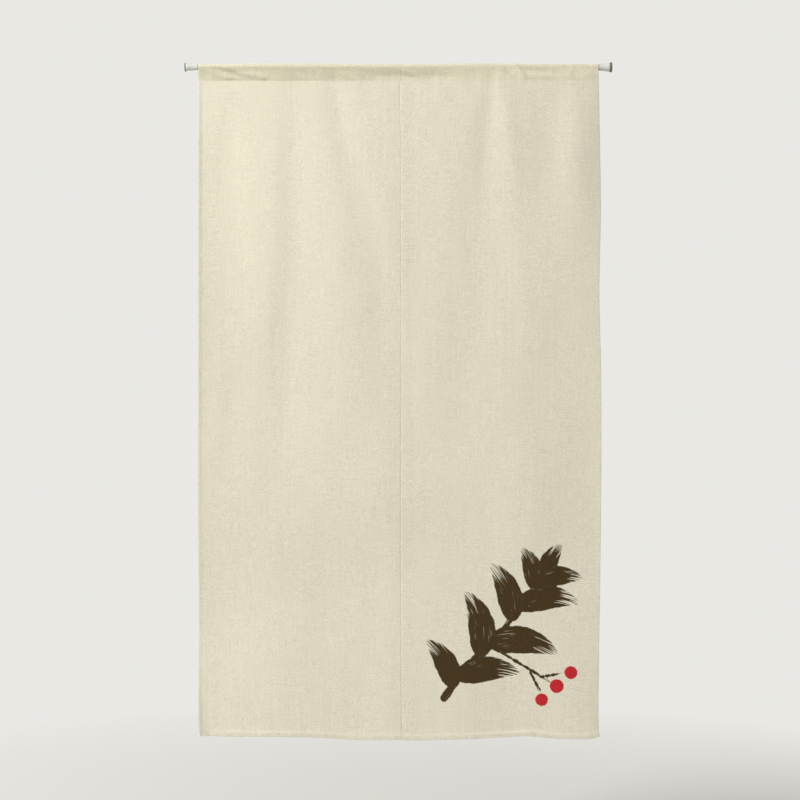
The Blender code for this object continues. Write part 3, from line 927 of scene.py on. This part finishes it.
class Graph:
    """Adds shader nodes to a material, with their settings and their inputs in one call."""

    def __init__(self, name):
        self.material = bpy.data.materials.new(name)
        self.material.use_nodes = True
        self.nodes = self.material.node_tree.nodes
        self.links = self.material.node_tree.links
        self.shader = self.nodes["Principled BSDF"]
        self.place = self.nodes.new("ShaderNodeTexCoord").outputs["Object"]

    def feed(self, socket, value):
        if isinstance(value, bpy.types.NodeSocket):
            self.links.new(value, socket)
        else:
            socket.default_value = value

    def set(self, **inputs):
        """Sets inputs of the shader. An underscore stands for a space in an input's name."""
        for name, value in inputs.items():
            self.feed(self.shader.inputs[name.replace("_", " ")], value)

    def math(self, operation, *values):
        node = self.nodes.new("ShaderNodeMath")
        node.operation = operation
        for socket, value in zip(node.inputs, values):
            self.feed(socket, value)
        return node.outputs[0]

    def attribute(self, name):
        node = self.nodes.new("ShaderNodeAttribute")
        node.attribute_name = name
        return node.outputs["Fac"]

    def joined(self, *names):
        """A place made of attributes."""
        node = self.nodes.new("ShaderNodeCombineXYZ")
        for socket, name in zip(node.inputs, names):
            self.feed(socket, self.attribute(name))
        return node.outputs[0]

    def noise(self, scales, detail=2.0, place=None):
        """Noise from 0 to 1 with its own scale, in grains a metre, along each axis."""
        stretch = self.nodes.new("ShaderNodeVectorMath")
        stretch.operation = "MULTIPLY"
        self.feed(stretch.inputs[0], place or self.place)
        self.feed(stretch.inputs[1], scales)
        node = self.nodes.new("ShaderNodeTexNoise")
        self.feed(node.inputs["Vector"], stretch.outputs[0])
        node.inputs["Scale"].default_value = 1.0
        node.inputs["Detail"].default_value = detail
        return node.outputs["Fac"]

    def threads(self, direction):
        """Rows of threads side by side, from 0 between them to 1 on top of them."""
        node = self.nodes.new("ShaderNodeTexWave")
        node.bands_direction = direction
        self.feed(node.inputs["Vector"], self.place)
        node.inputs["Scale"].default_value = 2 * pi / (WAVE_NODE_PERIODS * THREAD_PITCH)
        node.inputs["Distortion"].default_value = THREAD_UNEVENNESS
        node.inputs["Detail Scale"].default_value = THREAD_WANDER_SCALE
        return node.outputs["Fac"]

    def ramp(self, value, low, high, at_low, at_high):
        node = self.nodes.new("ShaderNodeMapRange")
        for socket, given in zip(node.inputs, (value, low, high, at_low, at_high)):
            self.feed(socket, given)
        return node.outputs[0]

    def uneven(self, *parts):
        """1 with noises of the given strengths about it."""
        total = 1.0
        for noise, strength in parts:
            swing = self.math("MULTIPLY", self.math("SUBTRACT", noise, 0.5), strength)
            total = self.math("ADD", total, swing)
        return total

    def tinted(self, colour, brightness):
        node = self.nodes.new("ShaderNodeVectorMath")
        node.operation = "SCALE"
        self.feed(node.inputs[0], colour)
        self.feed(node.inputs["Scale"], brightness)
        return node.outputs[0]

    def mix(self, share, first, second):
        node = self.nodes.new("ShaderNodeMix")
        node.data_type = "RGBA"
        colours = [socket for socket in node.inputs if socket.type == "RGBA"]
        self.feed(node.inputs[0], share)
        self.feed(colours[0], first)
        self.feed(colours[1], second)
        return next(socket for socket in node.outputs if socket.type == "RGBA")

    def bump(self, height, distance):
        node = self.nodes.new("ShaderNodeBump")
        node.inputs["Distance"].default_value = distance
        self.feed(node.inputs["Height"], height)
        self.set(Normal=node.outputs[0])


def cloth_material():
    """Plain-woven cotton with uneven yarns, and the print in it wherever a point's attributes say so."""
    graph = Graph("woven_cotton")
    grain = graph.noise(GRAIN_SCALES)
    weft = graph.noise(WEFT_SLUB_SCALES)
    warp = graph.noise(WARP_SLUB_SCALES)
    streak = graph.noise(STREAK_SCALES)
    yarns = ((grain, GRAIN_TINT), (weft, SLUB_TINT), (warp, SLUB_TINT), (streak, STREAK_TINT))
    brightness = graph.uneven(*yarns)
    # The pocket's warmer, darker colour is painted shade for light bounced between its layers
    cloth_and_painted_shade = graph.mix(graph.attribute("doubled_painted_shade"), (*CLOTH_RGB, 1.0), (*DOUBLED_PAINTED_SHADE_RGB, 1.0))
    cloth = graph.tinted(cloth_and_painted_shade, brightness)
    edge = graph.math("MULTIPLY", graph.math("SUBTRACT", graph.noise(BLEED_SCALES), 0.5), PRINT_BLEED)
    printed = graph.attribute("printed")
    masks = []
    for name in ("ink", "red"):
        distance = graph.math("ADD", graph.attribute(name), edge)
        inside = graph.ramp(distance, -PRINT_SOFT_EDGE, PRINT_SOFT_EDGE, 1.0, 0.0)
        masks.append(graph.math("MULTIPLY", inside, printed))
    hairs = graph.noise(HAIR_SCALES, place=graph.joined("across", "along"))
    dryness = graph.ramp(graph.attribute("dry"), DRY_FROM, 1.0, 0.0, DRY_SPREAD)
    inked = graph.ramp(graph.math("ADD", hairs, dryness), *HAIR_CONTRAST, 1.0, 0.0)
    ink_mask = graph.math("MULTIPLY", masks[0], inked)
    ink = graph.tinted(INK_RGB, graph.uneven((grain, INK_TINT), (streak, INK_TINT)))
    red = graph.tinted(RED_RGB, graph.uneven((grain, INK_TINT), (streak, INK_TINT)))
    colour = graph.mix(masks[1], graph.mix(ink_mask, cloth, ink), red)
    covered = graph.math("MAXIMUM", ink_mask, masks[1])
    graph.set(
        Base_Color=colour,
        Roughness=graph.math("SUBTRACT", CLOTH_ROUGHNESS, graph.math("MULTIPLY", covered, INK_SMOOTHNESS)),
        Specular_IOR_Level=CLOTH_SPECULAR,
        Sheen_Weight=CLOTH_SHEEN,
        Sheen_Roughness=CLOTH_SHEEN_ROUGHNESS,
        Subsurface_Weight=CLOTH_SUBSURFACE,
        Subsurface_Radius=CLOTH_LIGHT_REACH,
        Subsurface_Scale=1.0,
    )
    weave = graph.math("MULTIPLY", graph.threads("X"), graph.threads("Z"))
    height = graph.math("MULTIPLY", weave, WEAVE_HEIGHT)
    for noise, rise in ((weft, SLUB_HEIGHT), (warp, SLUB_HEIGHT), (grain, GRAIN_HEIGHT)):
        height = graph.math("ADD", height, graph.math("MULTIPLY", noise, rise))
    graph.bump(height, BUMP_UNIT)
    return graph.material


def thread_material():
    """Spun cotton thread, a little lighter than the cloth."""
    graph = Graph("sewing_thread")
    twist = graph.noise(THREAD_TWIST_SCALES)
    colour = graph.tinted(THREAD_RGB, graph.uneven((twist, THREAD_TINT)))
    graph.set(Base_Color=colour, Roughness=THREAD_ROUGHNESS, Sheen_Weight=THREAD_SHEEN)
    graph.bump(twist, THREAD_RADIUS / 2)
    return graph.material


def hard_material(name, rgb, roughness, grain_scales, tint, rise):
    """Moulded plastic, rubber or paint: uneven in colour and gloss, with a fine grain."""
    graph = Graph(name)
    grain = graph.noise(grain_scales, detail=HARD_GRAIN_DETAIL)
    cloud = graph.noise(HARD_CLOUD_SCALES)
    gloss = graph.uneven((cloud, GLOSS_CLOUDS), (grain, GLOSS_GRAIN))
    graph.set(
        Base_Color=graph.tinted(rgb, graph.uneven((grain, tint), (cloud, 2 * tint))),
        Roughness=graph.math("MULTIPLY", gloss, roughness),
    )
    graph.bump(grain, rise)
    return graph.material


def make_turned(name, profile, start, material):
    """A round piece about the rod's axis, from its closed profile of (x, radius)."""
    angles = 2 * pi * np.arange(ROUND_STEPS) / ROUND_STEPS
    points, rings, faces = [], [], []
    for x, radius in profile:
        if radius == 0:
            rings.append([len(points)] * ROUND_STEPS)
            points.append((start + x, 0.0, 0.0))
            continue
        rings.append(range(len(points), len(points) + ROUND_STEPS))
        points += [(start + x, radius * np.sin(angle), radius * np.cos(angle)) for angle in angles]
    for ring, next_ring in zip(rings, rings[1:] + rings[:1]):
        for i in range(ROUND_STEPS):
            j = (i + 1) % ROUND_STEPS
            corners = list(dict.fromkeys((ring[i], ring[j], next_ring[j], next_ring[i])))
            if len(corners) > 2:
                faces.append(corners)
    return add_piece(name, points, faces, material)


def rounded(x, radius, way_x, way_radius, size):
    """A quarter round at a corner of a profile, which leaves along x and arrives along the radius."""
    turns = np.linspace(0, pi / 2, FILLET_STEPS)
    return [
        (x - way_x * size * (1 - np.sin(turn)), radius - way_radius * size * (1 - np.cos(turn)))
        for turn in turns
    ]


def make_cap(name, node, towards_wall, material):
    """A tapered cap in the place of its solid: its narrow, open end faces the cloth."""
    low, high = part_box(node)
    length = high.x - low.x
    start = low.x if towards_wall > 0 else high.x
    narrow, wide = CAP_NARROW_RADIUS, high.z
    shares = np.linspace(CAP_LIP / length, 1 - CAP_EDGE / length, CAP_STEPS)
    body = [(share * length, narrow + (wide - narrow) * curve_at(CAP_TAPER, share)) for share in shares]
    profile = [(0.0, CAP_BORE_RADIUS), (0.0, narrow - CAP_LIP), *body]
    profile += rounded(length, wide, 1, 1, CAP_EDGE)
    profile += [(length, 0.0), (length - CAP_END_WALL, 0.0), (length - CAP_END_WALL, CAP_BORE_RADIUS)]
    piece = make_turned(name, [(x * towards_wall, float(r)) for x, r in profile], start, material)
    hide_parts(node)


def make_pad(name, node, towards_wall, material):
    """A rubber disc in the place of its solid, with a shallow groove round its rim."""
    low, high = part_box(node)
    thickness = high.x - low.x
    start = low.x if towards_wall > 0 else high.x
    radius, middle = high.z, thickness / 2
    chamfer = PAD_EDGE * PAD_CHAMFER_SHARE
    rim = [(0.0, radius - PAD_EDGE), (chamfer, radius - chamfer), (PAD_EDGE, radius)]
    groove = [(middle + PAD_GROOVE * way, radius - PAD_GROOVE * deep) for way, deep in PAD_GROOVE_PROFILE]
    far_rim = [(thickness - x, r) for x, r in reversed(rim)]
    profile = [(0.0, 0.0), *rim, *groove, *far_rim, (thickness, 0.0)]
    piece = make_turned(name, [(x * towards_wall, float(r)) for x, r in profile], start, material)
    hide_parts(node)


def make_rod(name, node, material):
    low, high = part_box(node)
    length = high.x - low.x
    inner = ROD_RADIUS - ROD_WALL
    profile = ((0.0, inner), (0.0, ROD_RADIUS), (length, ROD_RADIUS), (length, inner))
    piece = make_turned(name, profile, low.x, material)
    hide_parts(node)
    return piece


def make_camera():
    data = bpy.data.cameras.new("camera")
    data.sensor_width = SENSOR_WIDTH
    data.lens = SENSOR_WIDTH * -CAMERA_PLACE[1] / VIEW_WIDTH
    camera = bpy.data.objects.new("camera", data)
    camera.location = CAMERA_PLACE
    camera.rotation_euler = (pi / 2, 0, 0)
    bpy.context.scene.collection.objects.link(camera)
    bpy.context.scene.camera = camera


def make_light(name, place, aim, width, height, power):
    data = bpy.data.lights.new(name, "AREA")
    data.shape = "RECTANGLE"
    data.size = width
    data.size_y = height
    data.energy = power
    light = bpy.data.objects.new(name, data)
    light.location = place
    light.rotation_euler = (Vector(aim) - Vector(place)).to_track_quat("-Z", "Y").to_euler()
    light.visible_camera = False
    bpy.context.scene.collection.objects.link(light)


def make_world():
    """A pale studio, lighter towards the top but dim overhead. The camera sees it evenly pale."""
    world = bpy.data.worlds.new("pale_studio")
    bpy.context.scene.world = world
    world.use_nodes = True
    nodes, links = world.node_tree.nodes, world.node_tree.links
    background = nodes["Background"]
    background.inputs["Color"].default_value = (*BACKDROP_RGB, 1.0)
    way = nodes.new("ShaderNodeTexCoord")
    split = nodes.new("ShaderNodeSeparateXYZ")
    sky = nodes.new("ShaderNodeMapRange")
    sky.inputs["From Min"].default_value = -1.0
    sky.inputs["To Min"].default_value = LIGHT_FROM_BELOW
    sky.inputs["To Max"].default_value = LIGHT_FROM_ABOVE
    overhead = nodes.new("ShaderNodeMapRange")
    overhead.inputs["From Min"].default_value = OVERHEAD_FROM
    overhead.inputs["To Min"].default_value = 1.0
    overhead.inputs["To Max"].default_value = OVERHEAD_SHARE
    dimmed = nodes.new("ShaderNodeMath")
    dimmed.operation = "MULTIPLY"
    path = nodes.new("ShaderNodeLightPath")
    seen = nodes.new("ShaderNodeMath")
    seen.operation = "MAXIMUM"
    links.new(way.outputs["Generated"], split.inputs[0])
    links.new(split.outputs["Z"], sky.inputs["Value"])
    links.new(split.outputs["Z"], overhead.inputs["Value"])
    links.new(sky.outputs[0], dimmed.inputs[0])
    links.new(overhead.outputs[0], dimmed.inputs[1])
    links.new(dimmed.outputs[0], seen.inputs[0])
    links.new(path.outputs["Is Camera Ray"], seen.inputs[1])
    links.new(seen.outputs[0], background.inputs["Strength"])
    bpy.context.scene.view_settings.view_transform = "Standard"


def make_floor():
    """A pale floor that fades into the surroundings, so that no view shows its edge."""
    graph = Graph("pale_floor")
    far = graph.nodes.new("ShaderNodeVectorMath")
    far.operation = "LENGTH"
    graph.feed(far.inputs[0], graph.place)
    clear = graph.nodes.new("ShaderNodeBsdfTransparent")
    blend = graph.nodes.new("ShaderNodeMixShader")
    graph.set(Base_Color=(*FLOOR_RGB, 1.0), Roughness=FLOOR_ROUGHNESS)
    graph.feed(blend.inputs[0], graph.ramp(far.outputs["Value"], FLOOR_RADIUS / 2, FLOOR_RADIUS, 0.0, 1.0))
    graph.feed(blend.inputs[1], graph.shader.outputs[0])
    graph.feed(blend.inputs[2], clear.outputs[0])
    graph.feed(graph.nodes["Material Output"].inputs["Surface"], blend.outputs[0])
    mesh = bpy.data.meshes.new("floor")
    corners = ((-1, -1), (1, -1), (1, 1), (-1, 1))
    mesh.from_pydata([(x * FLOOR_RADIUS, y * FLOOR_RADIUS, 0) for x, y in corners], [], [(0, 1, 2, 3)])
    mesh.materials.append(graph.material)
    floor = bpy.data.objects.new("floor", mesh)
    floor.location = (CAMERA_PLACE[0], 0, FLOOR_HEIGHT)
    bpy.context.scene.collection.objects.link(floor)


def make_curtain():
    """The panels, their stitches, and the rod with its caps and pads."""
    cloth, thread = cloth_material(), thread_material()
    paint, plastic, rubber = (hard_material(name, *finish) for name, finish in HARD_FINISHES.items())
    rod = make_rod("tension_rod", "rod", paint)
    for side, towards_wall in (("left", -1), ("right", 1)):
        make_cap(side + "_cap", "end_cap_" + side, towards_wall, plastic)
        make_pad(side + "_pad", "end_pad_" + side, towards_wall, rubber)
    seam_left = [(z, x - SEAM_GAP / 2) for z, x in SEAM_LINE]
    seam_right = [(z, x + SEAM_GAP / 2) for z, x in SEAM_LINE]
    sides = (
        ("left", LEFT_EDGE, LEFT_CURL, seam_left, 1),
        ("right", RIGHT_EDGE, RIGHT_CURL, seam_right, -1),
    )
    for side, outer_line, outer_curl, slit_line, slit_way in sides:
        panel = Panel(side + "_cloth", outer_line, outer_curl, slit_line, slit_way)
        piece = make_cloth(panel, cloth)
        stitches = make_stitches(side + "_stitches", panel.stitch_lines(), thread)
        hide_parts("panel_" + side)


def main():
    make_camera()
    make_world()
    make_floor()
    for row in LIGHTS:
        make_light(*row)
    make_curtain()


main()
